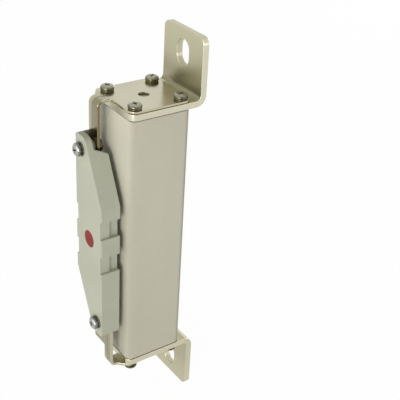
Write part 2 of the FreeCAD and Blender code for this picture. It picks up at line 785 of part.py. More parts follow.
# two fine trip wires that hold the button's tail: up from each tag, then along the groove
wires = new_body("trip_wires")
wires.AllowCompound = True
wire_level = house_back - size["wire_dia"] / 2 - 0.1
near_tail = size["tail_dia"] / 2 + 0.1
riser = new_sketch(wires, "XZ_Plane", -bracket_face, 0.0, house_mid)
draw_flats(riser, 0, wire_end, size["wire_dia"])
wire_riser = pad(wires, riser, wire_level - bracket_face, True)
run = new_sketch(wires, "XY_Plane", near_tail + house_mid)
draw_flats(run, 0, wire_level, size["wire_dia"])
wire_run = pad(wires, run, wire_end - near_tail)
turn_half(wires, [wire_riser, wire_run], riser)

# screws, washers and nuts that hold the indicator to its brackets
fix_screws, fix_flats, fix_springs, fix_nuts = [], [], [], []
flat_r = number(size["flat_washer_dia"]) / 2
flat_t = number(size["flat_washer_thick"])
nut_high = number(size["nut_thick"])
nut_blank = pillar(number(nut_corner), 6, 0, nut_high)
nut_shape = nut_blank.cut(pillar(washer_bore, 12, -1, nut_high + 1))
past_nut = 1.0
for x, z in (fix_upper, fix_lower):
    x, z = number(x), number(z)
    out = (0, -1, 0)
    level = number(house_face)
    fix_flats.append(ring((x, level, z), out, flat_r, washer_bore, flat_t))
    level -= flat_t
    fix_springs.append(split_ring((x, level, z), out, washer_r, washer_bore, washer_t))
    level -= washer_t
    fix_screws.append(pan_screw((x, level, z), out, number(sheet_back) + nut_high + past_nut - level))
    fix_nuts.append(placed(nut_shape, (x, number(sheet_back), z), (0, 1, 0)))
store("indicator_screws", fix_screws)
store("indicator_flat_washers", fix_flats)
store("indicator_spring_washers", fix_springs)
store("indicator_nuts", fix_nuts)

doc.recompute()
for thing in doc.Objects:
    if "Invalid" in thing.State or "Error" in thing.State:
        raise RuntimeError("%s did not build: %s" % (thing.Name, thing.State))
nodes = [o for o in doc.Objects if o.TypeId in ("PartDesign::Body", "Part::Feature")]
for node in nodes:
    shape = node.Shape
    if shape.isNull() or not shape.isValid() or shape.Volume <= 0:
        raise RuntimeError("%s is not a valid solid" % node.Label)
    shape.exportStep("parts/%s.step" % node.Label)
    print("%-26s solids %2d volume %10.1f" % (node.Label, len(shape.Solids), shape.Volume))
print(len(nodes), "parts")
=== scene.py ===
import bmesh
import bpy
import math
from mathutils import Matrix, Vector


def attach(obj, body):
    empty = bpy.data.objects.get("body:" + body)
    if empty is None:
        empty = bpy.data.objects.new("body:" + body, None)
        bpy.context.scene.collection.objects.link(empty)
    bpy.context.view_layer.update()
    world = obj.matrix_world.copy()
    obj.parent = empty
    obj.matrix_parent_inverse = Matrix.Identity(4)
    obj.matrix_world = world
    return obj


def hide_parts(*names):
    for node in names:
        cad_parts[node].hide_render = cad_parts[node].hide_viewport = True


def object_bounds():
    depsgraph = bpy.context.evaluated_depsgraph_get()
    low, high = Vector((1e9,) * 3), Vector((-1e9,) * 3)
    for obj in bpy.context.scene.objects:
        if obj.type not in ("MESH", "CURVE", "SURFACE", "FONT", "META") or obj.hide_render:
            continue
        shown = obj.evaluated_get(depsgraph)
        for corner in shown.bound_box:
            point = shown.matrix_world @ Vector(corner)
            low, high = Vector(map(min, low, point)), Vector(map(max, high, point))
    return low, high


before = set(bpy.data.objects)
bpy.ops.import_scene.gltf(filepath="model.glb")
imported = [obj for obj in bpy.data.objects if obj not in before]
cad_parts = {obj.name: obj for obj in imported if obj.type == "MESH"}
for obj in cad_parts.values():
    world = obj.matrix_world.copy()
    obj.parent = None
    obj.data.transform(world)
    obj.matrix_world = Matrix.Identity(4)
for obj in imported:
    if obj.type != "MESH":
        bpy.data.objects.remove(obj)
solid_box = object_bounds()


# Ceramic body. A square tube of fired ceramic, extruded, cut to length and left unglazed, so its
# faces are matt with faint clouds and specks. The strips and the sand fill the bore down its middle.

# Sizes are in millimetres. +Z runs along the fuse, -Y is the side of the trip indicator, and the
# faces that meet the busbars lie at y = 0.
MM = 0.001
BODY_LINE = -34.5
BODY_SIDE, BODY_LONG, BODY_CORNER, BODY_EDGE, BORE = 45.5, 193.0, 4.0, 0.5, 37.0
FIRED_GREY, FIRED_CREAM = (0.400, 0.387, 0.310), (0.440, 0.425, 0.343)
# the first of the next two tones is painted shade on the long corners, the second the specks
FIRED_CORNER_SHADE, FIRED_SPECK = (0.300, 0.290, 0.225), (0.33, 0.30, 0.22)
SHARPEST_MITRE = 0.4
NO_SEAM = -1e9


def rounded(corners, steps=8):
    """Outline through (x, y, radius) corners, each rounded with short straight runs."""
    points = []
    for i, (x, y, radius) in enumerate(corners):
        here = Vector((x, y))
        if not radius:
            points.append(here)
            continue
        back = (Vector(corners[i - 1][:2]) - here).normalized()
        on = (Vector(corners[(i + 1) % len(corners)][:2]) - here).normalized()
        half_angle = back.angle(on) / 2
        middle = here + (back + on).normalized() * (radius / math.sin(half_angle))
        first = here + back * (radius / math.tan(half_angle)) - middle
        last = here + on * (radius / math.tan(half_angle)) - middle
        start = math.atan2(first.y, first.x)
        sweep = (math.atan2(last.y, last.x) - start + math.pi) % (2 * math.pi) - math.pi
        for k in range(steps + 1):
            turn = start + sweep * k / steps
            points.append(middle + Vector((math.cos(turn), math.sin(turn))) * radius)
    return points


def round_hole(x, y, radius, count=40):
    """A hole's outline, taken clockwise so that the material lies on its left."""
    turns = [-2 * math.pi * i / count for i in range(count)]
    return [Vector((x + radius * math.cos(turn), y + radius * math.sin(turn))) for turn in turns]


def drawn_in(loop, depth):
    """The loop moved sideways into the material by the depth."""
    moved = []
    for i, here in enumerate(loop):
        before = (here - loop[i - 1]).normalized()
        after = (loop[(i + 1) % len(loop)] - here).normalized()
        left = Vector((-before.y, before.x))
        side = (left + Vector((-after.y, after.x))).normalized()
        moved.append(here + side * (depth / max(SHARPEST_MITRE, side.dot(left))))
    return moved


def ring_edges(form, ring):
    """The edges that close a ring of points."""
    return [form.edges.get((point, ring[(i + 1) % len(ring)])) for i, point in enumerate(ring)]


def cut_blank(outer, holes, thick, edge, wear=1.0, seam=NO_SEAM, steps=4):
    """A flat blank with its cut edges rounded over. The rim layer is 1 on the worn edge and falls
    to 0 over the wear's width. Where the blank lies on another piece, at x below the seam, the
    lower part of its edge has -1, which the finish shows as painted shade in the seam."""
    form = bmesh.new()
    rim = form.verts.layers.float.new("rim")
    quarter = [k / steps * math.pi / 2 for k in range(steps + 1)]
    lower_part = 0.3 * thick
    levels = [(edge + wear, 0.0, 0.0)]
    levels += [(edge * (1 - math.sin(turn)), edge * (1 - math.cos(turn)), 1.0) for turn in quarter]
    levels += [(0.0, lower_part, 1.0)]
    levels += [(depth, thick - high, worn) for depth, high, worn in reversed(levels)]
    bottoms, tops = [], []
    for loop in [outer] + holes:
        rings = []
        for depth, high, worn in levels:
            ring = [form.verts.new((spot.x, spot.y, high)) for spot in drawn_in(loop, depth)]
            for point in ring:
                # painted shade along the seam where the blank lies on another piece
                point[rim] = -1.0 if high <= lower_part and point.co.x < seam else worn
            rings.append(ring)
        count = len(loop)
        for low, high in zip(rings, rings[1:]):
            for i in range(count):
                j = (i + 1) % count
                form.faces.new((low[i], low[j], high[j], high[i]))
        bottoms += ring_edges(form, rings[0])
        tops += ring_edges(form, rings[-1])
    for edges in (bottoms, tops):
        bmesh.ops.triangle_fill(form, use_beauty=True, edges=edges)
    bmesh.ops.recalc_face_normals(form, faces=form.faces)
    return form


def finished(form, name, finish, nodes, body="fuse", flat_weight=True):
    """Turns the form into a piece on its body that stands for the named solids."""
    for point in form.verts:
        point.co *= MM
    mesh = bpy.data.meshes.new(name)
    form.to_mesh(mesh)
    form.free()
    mesh.shade_smooth()
    mesh.materials.append(finish.material)
    piece = bpy.data.objects.new(name, mesh)
    bpy.context.scene.collection.objects.link(piece)
    if flat_weight:
        weighted = piece.modifiers.new("flat_faces_stay_flat", "WEIGHTED_NORMAL")
        weighted.weight = 100
    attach(piece, body)
    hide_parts(*nodes)


def feed(tree, node, socket, value):
    """Links another node's result to the socket, or sets a plain value on it."""
    if isinstance(value, bpy.types.NodeSocket):
        tree.links.new(value, node.inputs[socket])
    else:
        node.inputs[socket].default_value = value


def worked_out(tree, how, first, second):
    """The sum, product or larger of two values."""
    node = tree.nodes.new("ShaderNodeMath")
    node.operation = how
    feed(tree, node, 0, first)
    feed(tree, node, 1, second)
    return node.outputs["Value"]


class Finish:
    """A material being put together: its shader, and short calls for the nodes that feed it."""

    def __init__(self, name, metal, rough):
        self.material = bpy.data.materials.new(name)
        self.material.use_nodes = True
        self.tree = self.material.node_tree
        self.nodes = self.tree.nodes
        self.shader = self.nodes["Principled BSDF"]
        self.shader.inputs["Metallic"].default_value = metal
        self.shader.inputs["Roughness"].default_value = rough
        self.place = self.nodes.new("ShaderNodeTexCoord").outputs["Object"]

    def clouds(self, scale, detail=4, rough=0.6, stretch=(1, 1, 1)):
        """Noise between 0 and 1; the scale is in features per metre."""
        mapping = self.nodes.new("ShaderNodeMapping")
        feed(self.tree, mapping, "Vector", self.place)
        mapping.inputs["Scale"].default_value = stretch
        noise = self.nodes.new("ShaderNodeTexNoise")
        feed(self.tree, noise, "Vector", mapping.outputs["Vector"])
        noise.inputs["Scale"].default_value = scale
        noise.inputs["Detail"].default_value = detail
        noise.inputs["Roughness"].default_value = rough
        return noise.outputs["Fac"]

    def marked(self, layer):
        """What a layer of the mesh says, point by point."""
        node = self.nodes.new("ShaderNodeAttribute")
        node.attribute_name = layer
        return node.outputs["Fac"]

    def spread(self, value, low, high, to_low=0.0, to_high=1.0):
        """The value stretched from one range to another, and held inside it."""
        node = self.nodes.new("ShaderNodeMapRange")
        feed(self.tree, node, "Value", value)
        node.inputs["From Min"].default_value = low
        node.inputs["From Max"].default_value = high
        node.inputs["To Min"].default_value = to_low
        node.inputs["To Max"].default_value = to_high
        return node.outputs["Result"]

    def added(self, first, second):
        return worked_out(self.tree, "ADD", first, second)

    def scaled(self, value, share):
        return worked_out(self.tree, "MULTIPLY", value, share)

    def blend(self, amount, first, second):
        """One colour at 0, the other at 1. The node's colours go in at 6 and 7 and come out at 2."""
        node = self.nodes.new("ShaderNodeMix")
        node.data_type = "RGBA"
        feed(self.tree, node, "Factor", amount)
        for socket, tone in ((6, first), (7, second)):
            linked = isinstance(tone, bpy.types.NodeSocket)
            feed(self.tree, node, socket, tone if linked else (*tone, 1.0))
        return node.outputs[2]

    def mottled(self, cloud, low, high, dark, light):
        """Two tones in soft patches, after the cloud."""
        return self.blend(self.spread(cloud, low, high), dark, light)

    def colour(self, value):
        feed(self.tree, self.shader, "Base Color", value)

    def roughness(self, value):
        feed(self.tree, self.shader, "Roughness", value)

    def relief(self, height, depth_mm, strength):
        """Fine unevenness of the surface, as deep as given where the height goes from 0 to 1."""
        bump = self.nodes.new("ShaderNodeBump")
        bump.inputs["Distance"].default_value = depth_mm * MM
        bump.inputs["Strength"].default_value = strength
        feed(self.tree, bump, "Height", height)
        feed(self.tree, self.shader, "Normal", bump.outputs["Normal"])


# soft clouds drawn out along the body, sparse fine specks, and a grain that is felt rather than seen
ceramic = Finish("unglazed_ceramic", 0.0, 0.6)
cloud = ceramic.clouds(16, 5, 0.6, (1, 1, 0.45))
speck = ceramic.spread(ceramic.clouds(900, 2, 0.5), 0.66, 0.74)
fired = ceramic.mottled(cloud, 0.35, 0.65, FIRED_GREY, FIRED_CREAM)
# painted shade: darker on the long rounded corners
fired = ceramic.blend(ceramic.scaled(ceramic.marked("corner"), 0.8), fired, FIRED_CORNER_SHADE)
ceramic.colour(ceramic.blend(ceramic.scaled(speck, 0.35), fired, FIRED_SPECK))
ceramic.roughness(ceramic.spread(cloud, 0.3, 0.7, 0.50, 0.68))
ceramic.relief(ceramic.added(ceramic.clouds(1400, 3), ceramic.clouds(60, 2, 0.5)), 0.05, 0.5)

half = BODY_SIDE / 2
back, front = BODY_LINE + half, BODY_LINE - half
outline = rounded([(-half, front, BODY_CORNER), (half, front, BODY_CORNER),
                   (half, back, BODY_CORNER), (-half, back, BODY_CORNER)], 10)
bore = round_hole(0, BODY_LINE, BORE / 2, 64)
tube = cut_blank(outline, [bore], BODY_LONG, BODY_EDGE)
bmesh.ops.translate(tube, verts=tube.verts, vec=(0, 0, -BODY_LONG / 2))
# the long rounded corners are painted a little darker: painted shade
corner = tube.verts.layers.float.new("corner")
for point in tube.verts:
    across, deep = [max(0.0, abs(reach) - half + BODY_CORNER) / BODY_CORNER
                    for reach in (point.co.x, point.co.y - BODY_LINE)]
    point[corner] = min(1.0, 2 * across * deep)
finished(tube, "ceramic_tube", ceramic, ["ceramic_body"])


# Terminals. Two blanks cut from thick copper bar, drilled, slotted, bent at one end and then
# plated. Each lies flat on an end of the body with its leg pointing away, so the lower one is the
# upper one the other way up. Only the upper one is drilled for the filling plug.
SEAL = 0.5
SEAT = BODY_LONG / 2 + SEAL
PLATE, PLATE_CORNER, TERMINAL = 46.0, 5.0, 4.5
BAR_EDGE, BAR_WEAR, BAR_INSIDE = 0.35, 0.6, 3.2
LEG_RISE, LEG_CORNER = 42.5, 5.0
SLOT_WIDE, SLOT_LONG, SLOT_HIGH = 13.5, 18.5, 127.5
SCREW_PITCH, SCREW_CLEAR, FILLER = 35.0, 5.5, 7.4
COPPER_DULL, COPPER_WARM = (0.320, 0.298, 0.185), (0.380, 0.355, 0.230)
# first the tone the leg is painted towards as it rises, a painted reflection; then worn edges with a
# painted highlight in bends; then painted shade
COPPER_PAINTED_SHEEN, COPPER_WEAR_AND_HIGHLIGHT, COPPER_PAINTED_SHADE = (0.530, 0.506, 0.350), (0.62, 0.595, 0.46), (0.10, 0.09, 0.06)
# the leg is painted darker near the bend and lighter further up, a painted reflection: it lightens over
# a short run and then more slowly; the bar is scored at the steps so that its tone can follow
DARK_RUN, LIGHTENING_RUN, SLOW_FROM, SLOW_SHARE, SLOW_RUN = 8.0, 17.0, 20.0, 0.7, 75.0
TONE_STEPS = (0.0, DARK_RUN, 13.0, SLOW_FROM, 30.0)
# the rim layer on the lower bar's edges, and on the edges at a leg's tip and round its slot, with
# how far those reach from the leg's end and from the slot's middle
LOWER_RIM, LEG_RIM, LEG_TIP, SLOT_ROUND = 0.6, 0.15, 1.0, 12.0
# inside a bend the rim is a painted highlight where it starts, up to that turn, and then painted shade,
# most at half the bend
BEND_PAINTED_HIGHLIGHT, HIGHLIGHT_TURN, BEND_PAINTED_SHADE, BEND_PAINTED_SHADE_MORE = 0.8, 0.3, 0.1, 0.4
X_WAY, Y_WAY = (1, 0, 0), (0, 1, 0)
# closer than this is the same place
HAIR = 0.01


def slot_hole(x, width, long, steps=16):
    """A round-ended slot that runs along x, taken clockwise."""
    reach, radius = (long - width) / 2, width / 2
    points = []
    for side, start in ((1, math.pi / 2), (-1, -math.pi / 2)):
        for k in range(steps + 1):
            turn = start - math.pi * k / steps
            points.append(Vector((x + side * reach + radius * math.cos(turn), radius * math.sin(turn))))
    return points


def screw_holes(middle):
    """The four screw holes of an end plate whose middle lies at the x given."""
    return [round_hole(middle + along * SCREW_PITCH / 2, across * SCREW_PITCH / 2, SCREW_CLEAR / 2, 32)
            for along in (-1, 1) for across in (-1, 1)]


def scored(form, way, distance):
    """Adds points where the form crosses that distance, so that it can bend or change tone there."""
    everything = form.verts[:] + form.edges[:] + form.faces[:]
    bmesh.ops.bisect_plane(form, geom=everything, dist=1e-5, plane_co=Vector(way) * distance,
                           plane_no=way)


def folded(form, start, inside, thick, up, steps=12):
    """Bends what lies beyond x = start square, up or down, round the inside radius. The hollow of
    the bend gets a painted highlight where it starts, and then a little painted shade, a rim value below
    zero."""
    rim = form.verts.layers.float["rim"]
    middle = inside + thick / 2
    reach = middle * math.pi / 2
    for k in range(steps + 1):
        scored(form, X_WAY, start + reach * k / steps)
    for point in form.verts:
        on = point.co.x - start
        if on <= 0:
            continue
        high = point.co.z if up else thick - point.co.z
        radius = inside + thick - high
        turn = min(on / middle, math.pi / 2)
        # painted highlight, then painted shade, in the bend's hollow
        if high > thick - HAIR and turn < math.pi / 2:
            painted_shade = BEND_PAINTED_SHADE + BEND_PAINTED_SHADE_MORE * math.sin(2 * turn)
            point[rim] = BEND_PAINTED_HIGHLIGHT if turn < HIGHLIGHT_TURN else -painted_shade
        over = max(0.0, on - reach)
        point.co.x = start + radius * math.sin(turn)
        high = thick + inside - radius * math.cos(turn) + over
        point.co.z = high if up else thick - high


def edge_wear_and_painted_light(finish, tone, edge, painted_shade):
    """The tone, going to the edge's own where the rim layer is above zero, for worn edges and a painted
    highlight in a bend, and to painted shade below it.
    """
    rim = finish.marked("rim")
    tone = finish.blend(finish.spread(rim, 0, 1), tone, edge)
    return finish.blend(finish.spread(rim, -0.2, -1), tone, painted_shade)


def leg_painted_reflection(along):
    """How light the leg is painted at a distance beyond the bend, up to 1: a painted reflection."""
    return min(1.0, (along - DARK_RUN) / LIGHTENING_RUN, SLOW_SHARE + (along - SLOW_FROM) / SLOW_RUN)


# plating that is uneven in soft patches, over faint marks across the bar
plated = Finish("plated_copper", 1.0, 0.34)
drift = plated.clouds(22)
brushed = plated.clouds(140, 3, 0.6, (0.05, 1, 1))
tone = plated.mottled(drift, 0.35, 0.7, COPPER_DULL, COPPER_WARM)
# painted reflection: the leg darker near the bend and lighter up it, the plate at its lightest
tone = plated.blend(plated.marked("painted_reflection"), tone, COPPER_PAINTED_SHEEN)
# worn edges and a painted highlight in a bend go to the edge tone, painted shade to the dark one
plated.colour(edge_wear_and_painted_light(plated, tone, COPPER_WEAR_AND_HIGHLIGHT, COPPER_PAINTED_SHADE))
plated.roughness(plated.added(plated.spread(drift, 0.3, 0.7, 0.26, 0.42),
                              plated.scaled(plated.marked("rim"), -0.05)))
plated.relief(plated.added(brushed, plated.clouds(700, 2, 0.5)), 0.02, 0.6)

plate_half, plate_front = PLATE / 2, BODY_LINE - PLATE / 2
bend_start = -(BAR_INSIDE + TERMINAL)
bend_end = bend_start + (BAR_INSIDE + TERMINAL / 2) * math.pi / 2
leg_end = bend_end + LEG_RISE - BAR_INSIDE
slot_middle = leg_end - (SEAT + TERMINAL + LEG_RISE - SLOT_HIGH)
outline = rounded([(plate_front, -plate_half, PLATE_CORNER), (leg_end, -plate_half, LEG_CORNER),
                   (leg_end, plate_half, LEG_CORNER), (plate_front, plate_half, PLATE_CORNER)])
for name, way, least_painted_reflection in (("upper", 1, 0.0), ("lower", -1, 0.5)):
    holes = screw_holes(BODY_LINE) + [slot_hole(slot_middle, SLOT_WIDE, SLOT_LONG)]
    if way > 0:
        holes.append(round_hole(BODY_LINE, 0, FILLER / 2))
    bar = cut_blank(outline, holes, TERMINAL, BAR_EDGE, BAR_WEAR)
    painted_reflection, rim = bar.verts.layers.float.new("painted_reflection"), bar.verts.layers.float["rim"]
    for step in TONE_STEPS:
        scored(bar, X_WAY, bend_end + step)
    for point in bar.verts:
        # the painted reflection along the leg; the lower bar is never painted darker than half
        point[painted_reflection] = max(least_painted_reflection, leg_painted_reflection(point.co.x - bend_end))
        if point[rim] > 0:
            by_slot = math.hypot(point.co.x - slot_middle, point.co.y) < SLOT_ROUND
            if by_slot or point.co.x > leg_end - LEG_TIP:
                point[rim] = LEG_RIM
            elif way < 0:
                point[rim] = LOWER_RIM
    folded(bar, bend_start, BAR_INSIDE, TERMINAL, True)
    for point in bar.verts:
        if point.co.x < bend_start:
            point[painted_reflection] = 1.0
    # the blank's x becomes the fuse's y, and the lower bar is turned over
    placed = Matrix(((0, -way, 0, 0), (1, 0, 0, 0), (0, 0, way, way * SEAT), (0, 0, 0, 1)))
    bmesh.ops.transform(bar, matrix=placed, verts=bar.verts)
    finished(bar, name + "_terminal_bar", plated, [name + "_terminal"])


# Cover and brackets. Thin plated sheet. The cover lies on the upper terminal under the same screws,
# and its front left corner runs out and is bent down to carry the top of the trip indicator. The
# lower bracket is a separate strip under one screw, bent up, with a wing towards the middle.
SHEET, SHEET_EDGE, SHEET_WEAR, SHEET_INSIDE, SHEET_FRONT = 2.0, 0.3, 0.5, 2.5, 67.5
COVER_LOW = SEAT + TERMINAL
FIX_ACROSS, FIX_HIGH, HOUSE_MID, BOSS = 10.3, 64.8, 4.1, 11.0
NECK_LEFT, NECK_RIGHT, NECK_CREASE, NECK_SHADE_LINE = -15.0, -3.5, -10.6, -10.0
LOW_LEFT, LOW_RIGHT, LOW_CREASE = 5.5, 15.0, 10.2
WING_LEFT, WING_FOOT, WING_HEAD = -8.5, 88.5, 66.5
FOOT_BACK, FOOT_INSET, FOOT_FLARE, FOOT_CORNER = 11.0, 1.5, 2.0, 3.0
CREASE_HALF, CREASE_DEEP, CREASE_START = 0.8, 0.35, 1.5
# what the rim layer says in a crease and on the faces that are painted darker: all painted shade
CREASE_PAINTED_SHADE, COVER_PAINTED_SHADE, STRIP_PAINTED_SHADE, NECK_PAINTED_SHADE = -0.8, -0.38, -0.62, -0.72
FADE_BEFORE, FADE_AFTER, SHADE_START = 3, 2, 1
# the sloping edges of neck and foot stop this far from where the bend or the plate starts
FLARE_GAP = 0.5
# corner radii: where the outline turns in, at a strip's ends, at the neck's tip, on the wing and at
# the foot's inner end
NOTCH, STRIP_END, NECK_TIP, WING_CORNER, FOOT_TIP = 0.8, 1.5, 2.0, 1.2, 1.0
SHEET_DULL, SHEET_BRIGHT = (0.520, 0.495, 0.368), (0.575, 0.550, 0.418)
# the first: worn edges with a painted highlight in bends; the second: painted shade
SHEET_WEAR_AND_HIGHLIGHT, SHEET_PAINTED_SHADE = (0.47, 0.44, 0.31), (0.13, 0.102, 0.022)


def creased(form, across, start, face, deep):
    """Presses a crease along x, from the start on, into the side at that height, and paints shade along
    it.
    """
    for place in (across - CREASE_HALF, across, across + CREASE_HALF):
        scored(form, Y_WAY, place)
    scored(form, X_WAY, start)
    rim = form.verts.layers.float["rim"]
    for point in form.verts:
        on_line = abs(point.co.y - across) < HAIR and abs(point.co.z - face) < HAIR
        if on_line and point.co.x > start:
            point.co.z += deep
            # painted shade in the crease
            point[rim] = CREASE_PAINTED_SHADE


def paint_face_shade(form, start, face, rim_value):
    """Paints one flat side darker beyond the start, painted shade, but not its cut edges."""
    rim = form.verts.layers.float["rim"]
    for point in form.verts:
        flat = abs(point.co.z - face) < HAIR and abs(point[rim]) < HAIR
        if flat and point.co.x > start:
            point[rim] = rim_value


def paint_neck_shade(form, across, start, face, rim_value):
    """Paints a neck darker from the bend on, painted shade, on the one side of the crease, with its cut
    edges.
    """
    for place in (start - FADE_BEFORE, start + FADE_AFTER):
        scored(form, X_WAY, place)
    rim = form.verts.layers.float["rim"]
    for point in form.verts:
        shows = point[rim] > 0 or abs(point.co.z - face) < HAIR
        if shows and point.co.x > start + SHADE_START and point.co.y > across:
            point[rim] = rim_value


# brighter than the bars, with rolling marks from front to back
sheet = Finish("plated_sheet", 1.0, 0.3)
drift = sheet.clouds(30)
streak = sheet.clouds(220, 3, 0.6, (1, 0.06, 1))
tone = sheet.mottled(drift, 0.35, 0.7, SHEET_DULL, SHEET_BRIGHT)
# worn edges and a painted highlight in a bend go to the edge tone, painted shade to the dark one
sheet.colour(edge_wear_and_painted_light(sheet, tone, SHEET_WEAR_AND_HIGHLIGHT, SHEET_PAINTED_SHADE))
sheet.roughness(sheet.added(sheet.spread(drift, 0.3, 0.7, 0.16, 0.23),
                            sheet.scaled(sheet.marked("rim"), -0.04)))
sheet.relief(sheet.added(streak, sheet.clouds(800, 2, 0.5)), 0.015, 0.6)

# a blank's x is the distance in front of the busbar faces and, past the bend, the rise less the
# height above the body's middle, or below it for the lower bracket
near, far = -(BODY_LINE + PLATE / 2), -plate_front
sheet_bend = SHEET_FRONT - SHEET - SHEET_INSIDE
rise = sheet_bend + (SHEET_INSIDE + SHEET / 2) * math.pi / 2 + COVER_LOW - SHEET_INSIDE
drop = rise - (HOUSE_MID + FIX_HIGH - BOSS / 2)
blank = rounded([(near, plate_half, PLATE_CORNER), (near, -plate_half, PLATE_CORNER),
                 (far, -plate_half, STRIP_END), (sheet_bend, NECK_LEFT, STRIP_END),
                 (drop, NECK_LEFT, NECK_TIP), (drop, NECK_RIGHT, NECK_TIP),
                 (far, NECK_RIGHT, NOTCH), (far, plate_half, PLATE_CORNER)])
holes = screw_holes(-BODY_LINE)
holes.append(round_hole(-BODY_LINE, 0, FILLER / 2))
holes.append(round_hole(rise - (HOUSE_MID + FIX_HIGH), -FIX_ACROSS, SCREW_CLEAR / 2, 32))
cover = cut_blank(blank, holes, SHEET, SHEET_EDGE, SHEET_WEAR, far)
creased(cover, NECK_CREASE, far + CREASE_START, SHEET, -CREASE_DEEP)
# painted shade on the cover's tab and, past the crease, on its neck
paint_face_shade(cover, far + SHADE_START, SHEET, COVER_PAINTED_SHADE)
paint_neck_shade(cover, NECK_SHADE_LINE, sheet_bend, SHEET, NECK_PAINTED_SHADE)
folded(cover, sheet_bend, SHEET_INSIDE, SHEET, False)
placed = Matrix(((0, 1, 0, 0), (-1, 0, 0, 0), (0, 0, 1, COVER_LOW), (0, 0, 0, 1)))
bmesh.ops.transform(cover, matrix=placed, verts=cover.verts)
finished(cover, "cover_plate", sheet, ["cover_with_bracket"])

foot_in, foot_side = far - FOOT_BACK, plate_half - FOOT_INSET
strip_end = rise + HOUSE_MID - FIX_HIGH + BOSS / 2
blank = rounded([(foot_in, LOW_LEFT, FOOT_TIP), (far + FLARE_GAP, LOW_LEFT, 0),
                 (rise - WING_FOOT, LOW_LEFT, NOTCH), (rise - WING_FOOT, WING_LEFT, WING_CORNER),
                 (rise - WING_HEAD, WING_LEFT, WING_CORNER), (rise - WING_HEAD, LOW_LEFT, NOTCH),
                 (strip_end, LOW_LEFT, STRIP_END), (strip_end, LOW_RIGHT, STRIP_END),
                 (sheet_bend - FLARE_GAP, LOW_RIGHT, STRIP_END),
                 (far - FOOT_FLARE, foot_side, FOOT_FLARE), (foot_in, foot_side, FOOT_CORNER)])
foot_hole = screw_holes(-BODY_LINE)[-1]
ear_hole = round_hole(rise + HOUSE_MID - FIX_HIGH, FIX_ACROSS, SCREW_CLEAR / 2, 32)
strip = cut_blank(blank, [foot_hole, ear_hole], SHEET, SHEET_EDGE, SHEET_WEAR)
creased(strip, LOW_CREASE, far + CREASE_START, 0, CREASE_DEEP)
# painted shade on the strip's front face
paint_face_shade(strip, sheet_bend - SHADE_START, 0, STRIP_PAINTED_SHADE)
folded(strip, sheet_bend, SHEET_INSIDE, SHEET, True)
placed = Matrix(((0, 1, 0, 0), (-1, 0, 0, 0), (0, 0, 1, -COVER_LOW - SHEET), (0, 0, 0, 1)))
bmesh.ops.transform(strip, matrix=placed, verts=strip.verts)
finished(strip, "lower_bracket_strip", sheet, ["lower_bracket"])


# Screws and washers. Zinc plated pan head screws with a cross recess, each on a split spring
# washer; the two that hold the indicator have a flat washer as well. The heads are cold formed and
# shiny. The screws at the ends and the spring washers get a darker copy of the zinc, painted shade,
# and the indicator's screws and flat washers a lighter one, painted light.
HEAD, HEAD_HIGH, HEAD_FOOT, SHANK, POINT_IN, POINT_LONG = 9.5, 2.9, 0.25, 5.0, 0.5, 0.7
# the head's dome, in shares of its radius and its height
DOME = ((1, 0.40), (0.97, 0.56), (0.90, 0.72), (0.78, 0.87), (0.60, 0.96), (0.35, 1))
# the cross recess: across, its arms' width, its depth, and how much narrower it is at the bottom
CROSS, CROSS_WIDE, CROSS_DEEP, CROSS_TAPER, ARM_TAPER = 5.0, 1.1, 1.8, 0.62, 0.9
HEAD_EDGE, CROSS_SLACK, CROSS_RIM, CROSS_FLOOR = 0.12, 0.02, 0.06, 0.5
# the head is painted lighter from half its height up, a painted highlight, in shares of that height
SHEEN_FROM, SHEEN_OVER = 0.5, 0.4
WASHER, WASHER_BORE, WASHER_THICK, WASHER_EDGE, WASHER_GAP = 9.0, 5.3, 0.9, 0.12, math.radians(9)
FLAT_WIDE, FLAT_THICK, FLAT_EDGE = 10.2, 1.0, 0.15
END_REACH, FIX_REACH, HOUSE_FRONT = 15.0, 5.0, -76.3
# a cutting block goes this far past what it cuts
PAST = 1.0
ZINC_DARK, ZINC_LIGHT, ZINC_PAINTED_SHEEN = (0.070, 0.064, 0.034), (0.145, 0.136, 0.085), (0.36, 0.35, 0.27)
# a lighter copy of the same zinc, painted light
LIGHTER_COPY_DARK, LIGHTER_COPY_LIGHT, LIGHTER_COPY_SHEEN = (0.12, 0.125, 0.11), (0.24, 0.245, 0.22), (0.44, 0.45, 0.42)
# painted shade in the cross recess
RECESS_PAINTED_SHADE = (0.012, 0.012, 0.010)


def lathe(outline, count=36):
    """A turned form about Z from (radius, height) pairs, closed where the radius is zero."""
    form = bmesh.new()
    turns = [2 * math.pi * i / count for i in range(count)]
    rings = []
    for radius, high in outline:
        if radius == 0:
            rings.append([form.verts.new((0, 0, high))])
            continue
        rings.append([form.verts.new((radius * math.cos(turn), radius * math.sin(turn), high))
                      for turn in turns])
    for low, high in zip(rings, rings[1:]):
        for i in range(count):
            j = (i + 1) % count
            corners = [low[i % len(low)], low[j % len(low)], high[j % len(high)], high[i % len(high)]]
            form.faces.new([point for n, point in enumerate(corners) if point not in corners[:n]])
    return form


def combined(form, others, how):
    """The form with the others joined to it or cut out of it."""
    made = []
    for n, part in enumerate([form] + others):
        bmesh.ops.recalc_face_normals(part, faces=part.faces)
        mesh = bpy.data.meshes.new("cut_%d" % n)
        part.to_mesh(mesh)
        part.free()
        thing = bpy.data.objects.new("cut_%d" % n, mesh)
        bpy.context.scene.collection.objects.link(thing)
        made.append(thing)
    for other in made[1:]:
        change = made[0].modifiers.new("change", "BOOLEAN")
        change.operation = how
        change.solver = "EXACT"
        change.object = other
    bpy.context.view_layer.update()
    result = bmesh.new()
    result.from_object(made[0], bpy.context.evaluated_depsgraph_get())
    for thing in made:
        mesh = thing.data
        bpy.data.objects.remove(thing)
        bpy.data.meshes.remove(mesh)
    return result


def less(form, cutters):
    """The form with the cutters taken out."""
    return combined(form, cutters, "DIFFERENCE")


